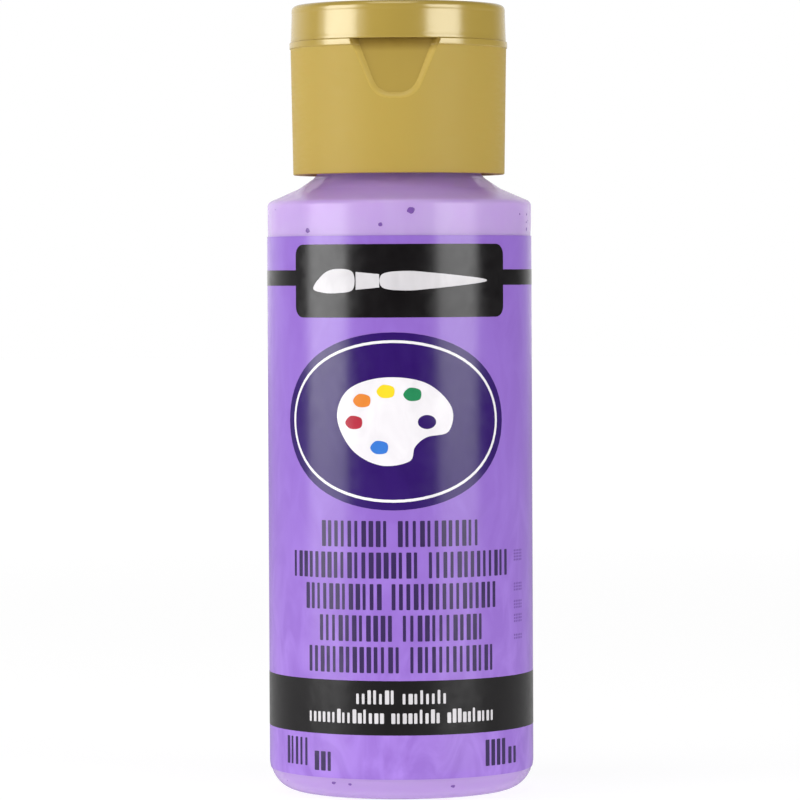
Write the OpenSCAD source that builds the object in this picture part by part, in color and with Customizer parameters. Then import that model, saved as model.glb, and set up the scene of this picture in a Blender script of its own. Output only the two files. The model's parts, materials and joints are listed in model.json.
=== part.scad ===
// Squeeze bottle of craft paint with a screw-on flip-top cap.
// Millimetres, +Z up, origin at the middle of the base on the standing surface.
// The front of the label and the thumb recess face -Y, and the hinge is at +Y.

/* [Bottle] */
// Outer diameter of the body
body_d = 34.6; // [33:0.1:37]
// Height of the edge between the body and the shoulder
shoulder_z = 77.3; // [70:0.1:80]
// Thickness of the blown wall
wall = 0.9; // [0.7:0.05:1.2]
// Width of the rounded heel, seen from above
heel_w = 3.6; // [3:0.1:5]
// Height of the rounded heel
heel_h = 4.0; // [3:0.1:5]
// Height of the pushed-up middle of the base
push_up = 1.6; // [1:0.1:2.5]
// Level of the paint
fill_z = 72.0; // [40:0.1:74]
// Thickness of the paint that clings to the wall above the level
cling_t = 0.25; // [0.1:0.05:0.4]

/* [Neck] */
// Diameter of the neck at the root of its thread
neck_d = 21.6; // [21.3:0.05:21.7]
// Diameter of the neck's bore
bore_d = 18.0; // [17:0.1:18.2]
// Diameter over the neck's thread
thread_d = 23.9; // [23.6:0.05:24]
// Height of the neck's top face
neck_top_z = 95.9; // [95.5:0.1:95.9]
// Rise of the thread in one turn
pitch = 3.175; // [3.1:0.025:3.2]
// Length of each thread in turns
thread_turns = 1.5; // [1:0.25:1.5]

/* [Label] */
// Thickness of the film
label_t = 0.1; // [0.05:0.01:0.2]
// Lower edge of the label
label_bottom_z = 2.9; // [2.5:0.1:8]
// Upper edge of the label
label_top_z = 72.7; // [40:0.1:76]
// Gap between the label's two ends at the back
label_gap = 3; // [1:0.5:20]

/* [Cap] */
// Radius of the skirt at its lower edge
skirt_bottom_r = 13.9; // [13.8:0.05:14]
// Radius of the skirt under its rim band
skirt_top_r = 14.18; // [14.1:0.02:14.2]
// Radius of the rim band
rim_r = 14.32; // [14.24:0.02:14.4]
// Lower edge of the skirt
skirt_z = 80.8; // [80.75:0.05:81.5]
// Plane where the lid meets the cap
part_z = 98.15; // [98.1:0.05:98.5]
// Height of the rim band
rim_h = 0.85; // [0.5:0.05:1.2]
// Radius inside the skirt
skirt_bore_r = 12.15; // [12.1:0.01:12.2]
// Radius of the dispensing hole
spout_bore_r = 1.6; // [1.55:0.05:1.8]

/* [Lid] */
// Flat top of the lid
lid_top_z = 103.0; // [102.9:0.1:104]
// Radius of the lid at its lower edge
lid_bottom_r = 14.15; // [14.05:0.01:14.2]
// Radius of the lid under its rounded edge
lid_top_r = 14.0; // [13.9:0.02:14.1]
// Radius of the lid's rounded top edge
lid_round = 0.7; // [0.4:0.1:0.9]

/* [Thumb recess] */
// Bottom of the recess
recess_z = 90.55; // [88:0.05:93]
// Depth of the recess at its bottom
recess_step = 0.13; // [0.02:0.01:0.2]
// Depth of the recess at the parting plane
recess_depth = 0.96; // [0.8:0.02:1.4]

/* [Hinge] */
// Distance of the hinge axis behind the cap's axis
pivot_y = 13.75; // [13.7:0.05:13.8]
// Width of each film hinge
film_w = 2.4; // [2:0.1:2.6]
// Distance of each film's middle from the centre plane
film_x = 3.4; // [3.3:0.1:3.6]
// Width of the snap strap
strap_w = 3.0; // [2:0.1:3.2]

/* [Hidden] */
$fn = 96;

body_r = body_d / 2;
inner_r = body_r - wall;
neck_r = neck_d / 2;
bore_r = bore_d / 2;
fit_gap = 0.03;      // gap that keeps the paint off the wall
slip_gap = 0.01;     // gap between faces that turn on each other

// Shoulder: a flatter outer cone, a steeper inner cone and a small edge radius.
edge_drop = 0.6;
cone_mid = [13.2, shoulder_z + 1.65];
cone_top = [11.3, shoulder_z + 2.95];
neck_foot_z = shoulder_z + 3.45;

// Standing ring and push-up of the base.
heel_x = body_r - heel_w;
ring_inner_r = heel_x - 1.2;
rise_r = ring_inner_r - 1.5;

// Cap: the deck closes the neck, and the liner lies between the deck and the neck's top face.
deck_under_z = 96.6;
deck_top_z = part_z - 0.4;
rim_z = part_z - rim_h;
plug_ring_r = bore_r - 0.15;
plug_ring_t = 0.95;
plug_ring_drop = 2.9;
liner_r = skirt_bore_r - 0.25;
catch_ring_r = 12.7;         // ring on the deck that guides the lid's wall
catch_ring_t = 0.7;
catch_ring_top_z = part_z + 0.9;
spout_top_z = part_z + 1.6;
spout_foot_r = 3.3;
spout_tip_r = 2.45;

// Threads: a trapezoid ridge on the neck and one in the skirt, half a pitch lower.
neck_ridge = [neck_r - 0.2, thread_d / 2, 1.05, 0.5];
skirt_ridge = [skirt_bore_r + 0.2, 11.15, 0.85, 0.4];
ridge_fade = 40;             // degrees over which each end of a ridge runs out
ridge_step = 10;
neck_thread_top_z = neck_top_z - 2.25;
skirt_thread_lift = 0.2;     // how far the cap's ridge stands nearer the neck's ridge above it
skirt_thread_top_z = neck_thread_top_z - pitch / 2 + skirt_thread_lift;
thread_start = 20;

// Lid: wall, top plate and the plug that closes the spout.
lid_bore_r = 12.85;
lid_under_z = lid_top_z - 1.1;
plug_root_r = 2.2;
plug_r = 1.45;
plug_tip_r = 1.1;
plug_tip_z = part_z + 0.55;

// Hinge: both rear flats lie on one plane, and the films and the strap are fixed to it.
flat_y = 13.3;
flat_half_w = 4.9;
flat_bottom_z = part_z - 3.5;
flat_top_z = part_z + 3.5;
film_t = 0.35;
film_web_r = 0.15;
film_reach = 1.15;           // how far each leaf of a film runs from the hinge axis
strap_reach = 3.1;
strap_t = 0.45;
strap_out = 0.35;            // stand-off of the strap's middle from the flats

function arc(cx, cz, rx, rz, from, to, n) =
    [for (i = [0 : n]) let (a = from + (to - from) * i / n) [cx + rx * cos(a), cz + rz * sin(a)]];

// Outline of the heel from the ring on the floor up to the wall, grown outwards by t.
function heel(t, n = 10) = arc(heel_x, heel_h, heel_w + t, heel_h + t, -90, 0, n);

// Radius of the body at height z, grown outwards by t.
function heel_r(z, t) =
    z >= heel_h ? body_r + t : heel_x + (heel_w + t) * sqrt(1 - pow((heel_h - z) / (heel_h + t), 2));

module ring(points) {
    rotate_extrude()
        polygon(points);
}

// One helical ridge: p is [root radius, crest radius, half width at the root, half width at the crest].
module ridge(p, top_z) {
    span = 360 * thread_turns;
    steps = span / ridge_step;
    function fade(i) = let (a = min(i, steps - i) * ridge_step) a >= ridge_fade ? 1 : max(0.12, a / ridge_fade);
    function crest(i) = p[0] + (p[1] - p[0]) * (0.2 + 0.8 * fade(i));
    function half(i, h) = h * (0.5 + 0.5 * fade(i));
    function section(i) =
        let (
            a = thread_start + i * ridge_step,
            z = top_z - pitch * (steps - i) * ridge_step / 360
        )
        [for (q = [[p[0], -p[2]], [crest(i), -p[3]], [crest(i), p[3]], [p[0], p[2]]])
            [q[0] * cos(a), q[0] * sin(a), z + sign(q[1]) * half(i, abs(q[1]))]];
    points = [for (i = [0 : steps]) each section(i)];
    // A ridge whose crest lies inside its root is wound the other way round.
    function turned(f) = p[1] > p[0] ? f : [f[2], f[1], f[0]];
    sides = [for (i = [0 : steps - 1], k = [0 : 3])
        let (a = 4 * i + k, b = 4 * i + (k + 1) % 4)
        each [turned([a, b, b + 4]), turned([a, b + 4, a + 4])]];
    last = 4 * steps;
    ends = [turned([0, 2, 1]), turned([0, 3, 2]),
        turned([last, last + 1, last + 2]), turned([last, last + 2, last + 3])];
    polyhedron(points = points, faces = concat(sides, ends));
}

function bottle_outside() = concat(
    [[0, push_up], [rise_r * 0.6, push_up * 0.88], [rise_r, push_up * 0.56]],
    [[ring_inner_r - 0.3, 0.14], [ring_inner_r, 0]],
    heel(0),
    [[body_r, shoulder_z - edge_drop]],
    [[body_r - 0.12, shoulder_z - 0.2], [body_r - 0.5, shoulder_z + 0.03]],
    [cone_mid, cone_top, [neck_r + 0.1, neck_foot_z - 0.12], [neck_r, neck_foot_z]],
    [[neck_r, neck_top_z - 0.3], [neck_r - 0.3, neck_top_z]]
);

// The inside runs back down from the top face. Its heel is the outer one set in by the wall.
function bottle_inside(t = 0) = concat(
    [[bore_r - t, neck_top_z], [bore_r - t, neck_foot_z + 0.7]],
    [[cone_top[0] - 1.0 - t, cone_top[1] - 0.75 - t], [cone_mid[0] - 0.5 - t, cone_mid[1] - wall - t]],
    [[inner_r - 0.5 - t, shoulder_z - wall - t], [inner_r - t, shoulder_z - wall - 0.6]]
);

function floor_inside(t = 0) = [
    [ring_inner_r - 0.2, wall + 0.08 + t], [rise_r - 0.2, push_up * 0.56 + wall + t],
    [rise_r * 0.6, push_up * 0.88 + wall + t], [0, push_up + wall + t]
];

function reversed(v) = [for (i = [len(v) - 1 : -1 : 0]) v[i]];

module bottle() {
    color("plum", 0.75)
        union() {
            ring(concat(bottle_outside(), bottle_inside(), reversed(heel(-wall)), floor_inside()));
            ridge(neck_ridge, neck_thread_top_z);
        }
}

module label() {
    low = [for (i = [0 : 4]) label_bottom_z + (heel_h - label_bottom_z) * i / 4];
    inner = concat([for (z = low) [heel_r(z, slip_gap), z]], [[body_r + slip_gap, label_top_z]]);
    outer = concat([for (z = low) [heel_r(z, label_t), z]], [[body_r + label_t, label_top_z]]);
    gap_angle = label_gap / body_r * 180 / PI;
    color("mediumpurple")
        rotate([0, 0, 90 + gap_angle / 2])
            rotate_extrude(angle = 360 - gap_angle)
                polygon(concat(inner, reversed(outer)));
}

module paint() {
    color("mediumorchid")
        ring(concat(
            reversed(floor_inside(fit_gap)),
            heel(-wall - fit_gap),
            [[inner_r - fit_gap, fill_z], [0, fill_z]]
        ));
}

// Paint that clings to the wall above the level.
module paint_film() {
    outer = bottle_inside(fit_gap);
    inner = bottle_inside(fit_gap + cling_t);
    corners = [2, 3, 4, 5];
    color("mediumorchid")
        ring(concat(
            [[inner_r - fit_gap, fill_z + slip_gap]],
            [for (k = reversed(corners)) outer[k]],
            [for (k = corners) inner[k]],
            [[inner_r - fit_gap - cling_t, fill_z + slip_gap]]
        ));
}

module liner() {
    color("white")
        ring([
            [bore_r + 0.1, neck_top_z], [liner_r, neck_top_z],
            [liner_r, deck_under_z - slip_gap], [bore_r + 0.1, deck_under_z - slip_gap]
        ]);
}

function cap_outline() = concat(
    [[skirt_bore_r + 0.3, skirt_z], [skirt_bottom_r - 0.15, skirt_z], [skirt_bottom_r, skirt_z + 0.15]],
    [[skirt_top_r, rim_z - 0.08], [rim_r, rim_z + 0.04], [rim_r, part_z - 0.1], [rim_r - 0.1, part_z]],
    // ring that guides the lid
    [[catch_ring_r, part_z], [catch_ring_r, catch_ring_top_z - 0.25]],
    [[catch_ring_r - 0.2, catch_ring_top_z], [catch_ring_r - catch_ring_t + 0.1, catch_ring_top_z]],
    [[catch_ring_r - catch_ring_t, catch_ring_top_z - 0.2], [catch_ring_r - catch_ring_t, deck_top_z]],
    // spout
    [[spout_foot_r + 0.3, deck_top_z], [spout_foot_r, deck_top_z + 0.3]],
    [[spout_tip_r + 0.15, spout_top_z - 0.2], [spout_tip_r, spout_top_z], [spout_bore_r + 0.15, spout_top_z]],
    [[spout_bore_r, spout_top_z - 0.15], [spout_bore_r, deck_under_z + 0.6], [2.6, deck_under_z]],
    // ring that plugs the neck's bore
    [[plug_ring_r - plug_ring_t, deck_under_z]],
    [[plug_ring_r - plug_ring_t + 0.2, deck_under_z - plug_ring_drop + 0.3]],
    [[plug_ring_r - 0.45, deck_under_z - plug_ring_drop], [plug_ring_r, deck_under_z - plug_ring_drop + 0.7]],
    [[plug_ring_r, deck_under_z], [skirt_bore_r, deck_under_z], [skirt_bore_r, skirt_z + 0.45]]
);

// What the thumb recess takes away: a prism whose back leans in towards the top.
module recess_cut() {
    front_r = skirt_bottom_r + (skirt_top_r - skirt_bottom_r) * (recess_z - skirt_z) / (rim_z - skirt_z);
    slope = (recess_depth - recess_step) / (part_z - recess_z);
    over = 2;
    translate([-10, 0, 0])
        rotate([90, 0, 90])
            linear_extrude(20)
                polygon([
                    [-front_r + recess_step, recess_z],
                    [-front_r + recess_depth + slope * over, part_z + over],
                    [-front_r - 3, part_z + over],
                    [-front_r - 3, recess_z]
                ]);
}

// Pocket for the hinge, from one height to another, behind the rear flats.
module hinge_pocket(from_z, to_z) {
    translate([-flat_half_w, flat_y, from_z])
        cube([2 * flat_half_w, 3, to_z - from_z]);
}

module cap_base() {
    color("darkkhaki")
        difference() {
            union() {
                ring(cap_outline());
                ridge(skirt_ridge, skirt_thread_top_z);
            }
            recess_cut();
            hinge_pocket(flat_bottom_z, part_z + 1);
        }
}

module lid() {
    color("darkkhaki")
        difference() {
            ring(concat(
                [[0, lid_top_z]],
                reversed(arc(lid_top_r - lid_round, lid_top_z - lid_round, lid_round, lid_round, 0, 90, 6)),
                [[lid_bottom_r, part_z + 0.1], [lid_bottom_r - 0.1, part_z]],
                [[lid_bore_r + 0.15, part_z], [lid_bore_r, part_z + 0.15]],
                [[lid_bore_r, lid_under_z - 0.4], [lid_bore_r - 0.4, lid_under_z]],
                // plug
                [[plug_root_r + 0.3, lid_under_z], [plug_root_r, lid_under_z - 0.3]],
                [[plug_root_r, spout_top_z + 0.1], [plug_r, spout_top_z + 0.1]],
                [[plug_r, plug_tip_z + 0.4], [plug_tip_r, plug_tip_z], [0, plug_tip_z]]
            ));
            hinge_pocket(part_z - 1, flat_top_z);
        }
}

// A film hinge: two leaves on the flats and a round web between them on the hinge axis.
module hinge_film(x) {
    function leaf(side) = [
        [flat_y, part_z + side * film_reach],
        [flat_y + film_t, part_z + side * film_reach],
        [flat_y + film_t, part_z + side * 0.45]
    ];
    low = leaf(-1);
    high = leaf(1);
    color("darkkhaki")
        translate([x - film_w / 2, 0, 0])
            rotate([90, 0, 90]) {
                linear_extrude(film_w)
                    polygon([
                        low[0], low[1], low[2], [pivot_y, part_z - 0.12], [pivot_y, part_z + 0.12],
                        high[2], high[1], high[0], [flat_y, part_z + 0.3],
                        [pivot_y - 0.14, part_z + 0.1], [pivot_y - 0.14, part_z - 0.1], [flat_y, part_z - 0.3]
                    ]);
                translate([pivot_y, part_z, 0])
                    cylinder(r = film_web_r, h = film_w, $fn = 32);
            }
}

// The strap that snaps the lid over its dead centre. It is fixed at its two ends and stands off between them.
module snap_strap() {
    half = strap_reach;
    outer = flat_y + strap_out + strap_t;
    color("darkkhaki")
        translate([-strap_w / 2, 0, 0])
            rotate([90, 0, 90])
                linear_extrude(strap_w)
                    polygon([
                        [flat_y, part_z - half], [flat_y + strap_t, part_z - half],
                        [outer, part_z - half + 1.3], [outer, part_z + half - 1.3],
                        [flat_y + strap_t, part_z + half], [flat_y, part_z + half],
                        [flat_y, part_z + half - 0.8], [flat_y + strap_out, part_z + half - 1.4],
                        [flat_y + strap_out, part_z - half + 1.4], [flat_y, part_z - half + 0.8]
                    ]);
}

bottle();
label();
paint();
paint_film();
liner();
cap_base();
lid();
hinge_film(-film_x);  // hinge_film_left
hinge_film(film_x);  // hinge_film_right
snap_strap();
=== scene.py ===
import json
import math
import random

import bmesh
import bpy
from mathutils import Euler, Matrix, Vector, noise
from mathutils.geometry import tessellate_polygon


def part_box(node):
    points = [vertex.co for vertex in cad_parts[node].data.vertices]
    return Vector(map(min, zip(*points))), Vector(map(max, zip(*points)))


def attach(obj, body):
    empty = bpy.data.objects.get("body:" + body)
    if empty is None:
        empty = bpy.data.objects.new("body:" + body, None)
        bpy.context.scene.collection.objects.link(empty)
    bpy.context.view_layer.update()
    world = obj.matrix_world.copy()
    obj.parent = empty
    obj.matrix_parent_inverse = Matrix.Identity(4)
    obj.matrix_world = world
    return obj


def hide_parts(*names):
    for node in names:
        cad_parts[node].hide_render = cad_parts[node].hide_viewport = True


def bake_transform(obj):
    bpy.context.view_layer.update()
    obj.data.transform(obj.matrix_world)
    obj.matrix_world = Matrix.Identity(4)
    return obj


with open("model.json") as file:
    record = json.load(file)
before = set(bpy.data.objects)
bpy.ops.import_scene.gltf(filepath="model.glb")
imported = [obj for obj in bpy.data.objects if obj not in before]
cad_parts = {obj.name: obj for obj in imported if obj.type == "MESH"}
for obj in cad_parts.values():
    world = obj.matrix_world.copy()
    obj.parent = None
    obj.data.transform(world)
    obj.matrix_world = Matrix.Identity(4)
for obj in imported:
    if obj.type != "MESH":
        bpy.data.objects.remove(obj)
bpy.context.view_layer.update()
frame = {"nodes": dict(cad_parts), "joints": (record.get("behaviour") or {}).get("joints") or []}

MM = 0.001


def node_box(name):
    """Lowest and highest corners of a CAD node, in millimetres."""
    low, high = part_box(name)
    return low / MM, high / MM


# ---------------------------------------------------------------- sizes, in millimetres
# The places come from the frame. The rest are the CAD model's sizes that its boxes don't tell.
bottle_low, bottle_high = node_box("bottle")
label_low, label_high = node_box("label")
paint_low, paint_high = node_box("paint")
cap_low, cap_high = node_box("cap_base")
lid_low, lid_high = node_box("lid")
liner_low, liner_high = node_box("liner")

BODY_R = bottle_high.x
NECK_TOP_Z = bottle_high.z
LABEL_T = 0.1
LABEL_R = BODY_R + LABEL_T
LABEL_BOTTOM_Z, LABEL_TOP_Z = label_low.z, label_high.z
FILL_Z = paint_high.z
SKIRT_Z = cap_low.z
RIM_R = cap_high.x
PART_Z = lid_low.z
LID_TOP_Z = lid_high.z
DECK_UNDER_Z = liner_high.z + 0.01

WALL = 0.9
HEEL_W, HEEL_H = 3.6, 4.0
RING_R = BODY_R - HEEL_W - 1.2
PUSH_UP = 1.6
SHOULDER_Z = 77.3
PAINT_GAP = 0.03
PAINT_R = BODY_R - WALL - PAINT_GAP
NECK_R, BORE_R, NECK_THREAD_H = 10.8, 9.0, 1.15
NECK_PLAIN_Z = 84.2
RIM_Z = PART_Z - 0.85
SKIRT_BOTTOM_R, SKIRT_TOP_R, SKIRT_BORE_R, SKIRT_THREAD_H = 13.9, 14.18, 12.15, 1.0
BORE_TOP_Z, BORE_FOOT_Z = 94.6, 82.8
LID_BOTTOM_R, LID_TOP_R, LID_BORE_R = 14.15, 14.0, 12.85
LID_UNDER_Z = LID_TOP_Z - 1.1
SPOUT_BORE_R = 1.6
SPOUT_TOP_Z = PART_Z + 1.6
PLUG_RING_R = 8.85
CATCH_RING_R = 12.7
DECK_TOP_Z = PART_Z - 0.4
RECESS_Z, RECESS_FOOT_Y, RECESS_TOP_Y, RECESS_CURVE_R = 90.4, 13.72, 12.92, 22
RECESS_TOP_HALF_W, RECESS_FLARE, RECESS_ROUND = 5.95, 0.42, 0.65
FLAT_Y, FLAT_HALF_H = 13.3, 3.5
PITCH, THREAD_START, THREAD_SPAN, THREAD_FADE = 3.175, 20, 540, 40
NECK_THREAD_TOP_Z = NECK_TOP_Z - 2.25
SKIRT_THREAD_TOP_Z = NECK_THREAD_TOP_Z - PITCH / 2 + 0.2
LABEL_GAP = 3.0
EMBLEM_X, EMBLEM_Z = -0.9, 48.9

hinge = next(j for j in frame["joints"] if j["name"] == "lid_hinge")
PIVOT = Vector(hinge["pos_m"]) / MM

FRONT, REAR = -math.pi / 2, math.pi / 2

# The camera and the label's print are turned a little from the notch in the cap.
FACING = math.radians(1.8)
TOWARDS = Vector((math.sin(FACING), -math.cos(FACING), 0))
ACROSS = Vector((math.cos(FACING), math.sin(FACING), 0))
UP = Vector((0, 0, 1))


# ---------------------------------------------------------------- mesh helpers
def ease(t):
    """0 below 0, 1 above 1, and smooth between."""
    t = min(1.0, max(0.0, t))
    return t * t * (3 - 2 * t)


def smooth_min(a, b, soft):
    """The lower of two numbers, rounded over where they are within soft of each other."""
    h = max(soft - abs(a - b), 0) / soft
    return min(a, b) - h * h * soft / 4


def outline(points, step=1.5):
    """A line through (r, z, fillet radius) corners, with arcs at the fillets and no stretch over step."""
    corners = [(Vector(p[:2]), p[2] if len(p) > 2 else 0) for p in points]
    line = []
    for i, (here, fillet) in enumerate(corners):
        if not fillet or i in (0, len(corners) - 1):
            line.append(here)
            continue
        back = (corners[i - 1][0] - here).normalized()
        ahead = (corners[i + 1][0] - here).normalized()
        half = back.angle(ahead) / 2
        centre = here + (back + ahead).normalized() * fillet / math.sin(half)
        first = here + back * fillet / math.tan(half) - centre
        last = here + ahead * fillet / math.tan(half) - centre
        angle = math.atan2(first.y, first.x)
        sweep = (math.atan2(last.y, last.x) - angle + math.pi) % (2 * math.pi) - math.pi
        count = max(2, round(abs(math.degrees(sweep)) / 15))
        for k in range(count + 1):
            a = angle + sweep * k / count
            line.append(centre + fillet * Vector((math.cos(a), math.sin(a))))
    fine = [line[0]]
    for a, b in zip(line, line[1:]):
        parts = max(1, math.ceil((b - a).length / step))
        fine += [a.lerp(b, k / parts) for k in range(1, parts + 1)]
    return [(p.x, p.y) for p in fine]


def columns(step, *dense):
    """Angles round the axis. dense says where they stand closer: (middle, half width, step), degrees."""
    angles, a = [], 0.0
    while a < 360 - step / 4:
        angles.append(math.radians(a))
        near = [fine for middle, half, fine in dense if abs((a - middle + 180) % 360 - 180) <= half]
        a += min(near, default=step)
    return angles


def add_piece(name, mesh, material, sharp=35):
    """Makes a mesh an object with smooth faces, and edges kept sharp above an angle."""
    grid = bmesh.new()
    grid.from_mesh(mesh)
    bmesh.ops.recalc_face_normals(grid, faces=grid.faces[:])
    grid.to_mesh(mesh)
    grid.free()
    mesh.shade_smooth()
    mesh.set_sharp_from_angle(angle=math.radians(sharp))
    for m in material if isinstance(material, (list, tuple)) else [material]:
        mesh.materials.append(m)
    piece = bpy.data.objects.new(name, mesh)
    bpy.context.scene.collection.objects.link(piece)
    return piece


def turned(name, count, angles, place, material, closed=False):
    """A skin of rows round the z axis. place(row, angle) gives (r, z), and r of 0 makes a pole."""
    points, rows = [], []
    for i in range(count):
        if place(i, 0)[0] < 1e-6:
            rows.append([len(points)] * len(angles))
            points.append((0, 0, place(i, 0)[1] * MM))
            continue
        rows.append(list(range(len(points), len(points) + len(angles))))
        for a in angles:
            r, z = place(i, a)
            points.append((r * math.cos(a) * MM, r * math.sin(a) * MM, z * MM))
    pairs = list(zip(rows, rows[1:])) + ([(rows[-1], rows[0])] if closed else [])
    faces = []
    for low, high in pairs:
        for j in range(len(angles)):
            k = (j + 1) % len(angles)
            ring = [low[j], low[k], high[k], high[j]]
            faces.append([v for n, v in enumerate(ring) if v not in ring[:n]])
    mesh = bpy.data.meshes.new(name)
    mesh.from_pydata(points, [], faces)
    return add_piece(name, mesh, material)


def lathe(name, profile, angles, material, shape=None, closed=False):
    """Turns a profile of (r, z) points. shape(angle, r, z) may move a point to another (r, z)."""
    def place(i, angle):
        return shape(angle, *profile[i]) if shape else profile[i]

    return turned(name, len(profile), angles, place, material, closed)


def thread(angle, z, top_z, half_root, half_crest):
    """Share of a thread's full height here. The thread climbs PITCH a turn and runs out at both ends."""
    highest = 0
    for lap in (0, 360):
        along = math.degrees(angle) % 360 - THREAD_START + lap
        if 0 < along < THREAD_SPAN:
            fade = min(1, along / THREAD_FADE, (THREAD_SPAN - along) / THREAD_FADE)
            width = 0.5 + 0.5 * fade
            off = abs(z - top_z + PITCH * (THREAD_SPAN - along) / 360)
            rise = (half_root * width - off) / ((half_root - half_crest) * width)
            highest = max(highest, fade * ease(rise))
    return highest


def flat_cut(radius, angle, share):
    """The radius left by the flat at the hinge, with softened edges. share fades the cut in."""
    turn = math.cos(angle - REAR)
    if share <= 0 or turn < 0.5:
        return radius
    return radius - (radius - smooth_min(radius, FLAT_Y / turn, 0.12)) * share


def recess_inset(radius, angle, z):
    """How far a point of the wall lies inside the thumb recess's outline, and the recess's depth."""
    turn = math.cos(angle - FRONT)
    if z < RECESS_Z - 0.1 or turn < 0.5:
        return 0, 0
    side = RECESS_TOP_HALF_W - RECESS_FLARE * (PART_Z - z) - abs(math.sin(angle - FRONT)) * radius
    inside = smooth_min(side / math.hypot(1, RECESS_FLARE), z - RECESS_Z, 1.9)
    share = (z - RECESS_Z) / (PART_Z - RECESS_Z)
    floor_y = RECESS_FOOT_Y + (RECESS_TOP_Y - RECESS_FOOT_Y) * share
    floor_y -= (RECESS_TOP_Y * math.sin(angle - FRONT)) ** 2 / (2 * RECESS_CURVE_R)
    return max(0, inside), max(0, radius - floor_y / turn)


# ---------------------------------------------------------------- materials
def srgb(red, green, blue):
    """A linear colour from 0-255 screen values."""
    values = [c / 255 for c in (red, green, blue)]
    return tuple(c / 12.92 if c <= 0.04045 else ((c + 0.055) / 1.055) ** 2.4 for c in values) + (1,)


class Finish:
    """A Principled material whose inputs are fed by procedural patterns in the part's own frame."""

    def __init__(self, name, **inputs):
        self.material = bpy.data.materials.new(name)
        self.material.use_nodes = True
        self.tree = self.material.node_tree
        self.shader = self.tree.nodes["Principled BSDF"]
        self.place = self.add("ShaderNodeTexCoord").outputs["Object"]
        for key, value in inputs.items():
            self.shader.inputs[key.replace("_", " ")].default_value = value

    def add(self, kind, links=None, **settings):
        """A new node, with links from input name to a value or to another node's output."""
        node = self.tree.nodes.new(kind)
        for key, value in settings.items():
            setattr(node, key, value)
        for key, value in (links or {}).items():
            if isinstance(value, bpy.types.NodeSocket):
                self.tree.links.new(value, node.inputs[key])
            else:
                node.inputs[key].default_value = value
        return node

    def feed(self, socket, output):
        """Drives one of the shader's inputs."""
        self.tree.links.new(output, self.shader.inputs[socket])

    def noise(self, size, detail=2, stretch=(1, 1, 1), turn=(0, 0, 0), warp=0):
        """Noise with grains of about size millimetres. A stretch below 1 draws them out that way."""
        how = {"Vector": self.place, "Scale": stretch, "Rotation": turn}
        mapped = self.add("ShaderNodeMapping", how).outputs[0]
        links = {"Vector": mapped, "Scale": 1 / (size * MM), "Detail": detail, "Distortion": warp}
        return self.add("ShaderNodeTexNoise", links).outputs["Fac"]

    def spread(self, value, low, high, to_low, to_high):
        """Maps a value from one range to another."""
        links = {"Value": value, "From Min": low, "From Max": high, "To Min": to_low, "To Max": to_high}
        return self.add("ShaderNodeMapRange", links).outputs[0]

    def height(self):
        """Height above the floor, in millimetres."""
        z = self.add("ShaderNodeSeparateXYZ", {"Vector": self.place}).outputs["Z"]
        return self.add("ShaderNodeMath", {0: z, 1: 1 / MM}, operation="MULTIPLY").outputs[0]

    def mix(self, share, low, high):
        """One colour turning into another."""
        node = self.add("ShaderNodeMix", data_type="RGBA")
        factor, first, second = node.inputs["Factor"], node.inputs[6], node.inputs[7]
        for socket, value in ((factor, share), (first, low), (second, high)):
            if isinstance(value, bpy.types.NodeSocket):
                self.tree.links.new(value, socket)
            else:
                socket.default_value = value
        return node.outputs[2]

    def times(self, a, b):
        return self.add("ShaderNodeMath", {0: a, 1: b}, operation="MULTIPLY").outputs[0]

    def plus(self, a, b):
        return self.add("ShaderNodeMath", {0: a, 1: b}, operation="ADD").outputs[0]

    def bump(self, value, depth, strength=0.5):
        """Relief of depth millimetres."""
        links = {"Height": value, "Distance": depth * MM, "Strength": strength}
        self.feed("Normal", self.add("ShaderNodeBump", links).outputs["Normal"])

    def see_through(self, share):
        """Lets part of the light and of the sight straight through."""
        clear = self.add("ShaderNodeBsdfTransparent").outputs[0]
        both = self.add("ShaderNodeMixShader", {0: share, 1: clear, 2: self.shader.outputs[0]})
        self.tree.links.new(both.outputs[0], self.tree.nodes["Material Output"].inputs["Surface"])


GOLD = srgb(183, 157, 77)
GOLD_DEEP = srgb(177, 151, 70)
LABEL_PURPLE = srgb(147, 109, 202)
BLACK = srgb(12, 9, 11)
WHITE = srgb(232, 228, 232)
INDIGO = srgb(44, 12, 98)
TEXT = srgb(50, 34, 80)


def cap_finish():
    """Satin moulded plastic: a fine spark-eroded grain, flow shading and faint scuffs."""
    f = Finish("cap_satin", Specular_IOR_Level=0.22, Specular_Tint=(1, 0.94, 0.76, 1))
    f.shader.inputs["Subsurface Weight"].default_value = 0.06
    f.shader.inputs["Subsurface Scale"].default_value = 0.002
    flow = f.noise(14, 2, stretch=(1, 1, 0.35), warp=0.6)
    f.feed("Base Color", f.mix(f.spread(flow, 0.3, 0.7, 0, 1), GOLD, srgb(179, 152, 73)))
    scuffs = f.noise(2.2, 4, stretch=(1, 1, 5), warp=0.4)
    f.feed("Roughness", f.spread(scuffs, 0.35, 0.75, 0.44, 0.58))
    f.bump(f.noise(0.09, 3), 0.02, 0.35)
    return f.material


def gloss_finish():
    """Polished moulded plastic, with a trace of mould flow and fine handling marks."""
    f = Finish("lid_gloss", IOR=1.9, Specular_Tint=(1, 0.95, 0.78, 1))
    flow = f.noise(11, 2, stretch=(1, 1, 0.5), warp=0.8)
    f.feed("Base Color", f.mix(f.spread(flow, 0.3, 0.7, 0, 1), GOLD_DEEP, srgb(173, 147, 67)))
    marks = f.noise(0.9, 3, stretch=(1, 1, 5), turn=(0, 0.5, 0))
    f.feed("Roughness", f.spread(marks, 0.4, 0.8, 0.19, 0.27))
    f.bump(f.noise(2.6, 2), 0.012, 0.3)
    return f.material


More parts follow.
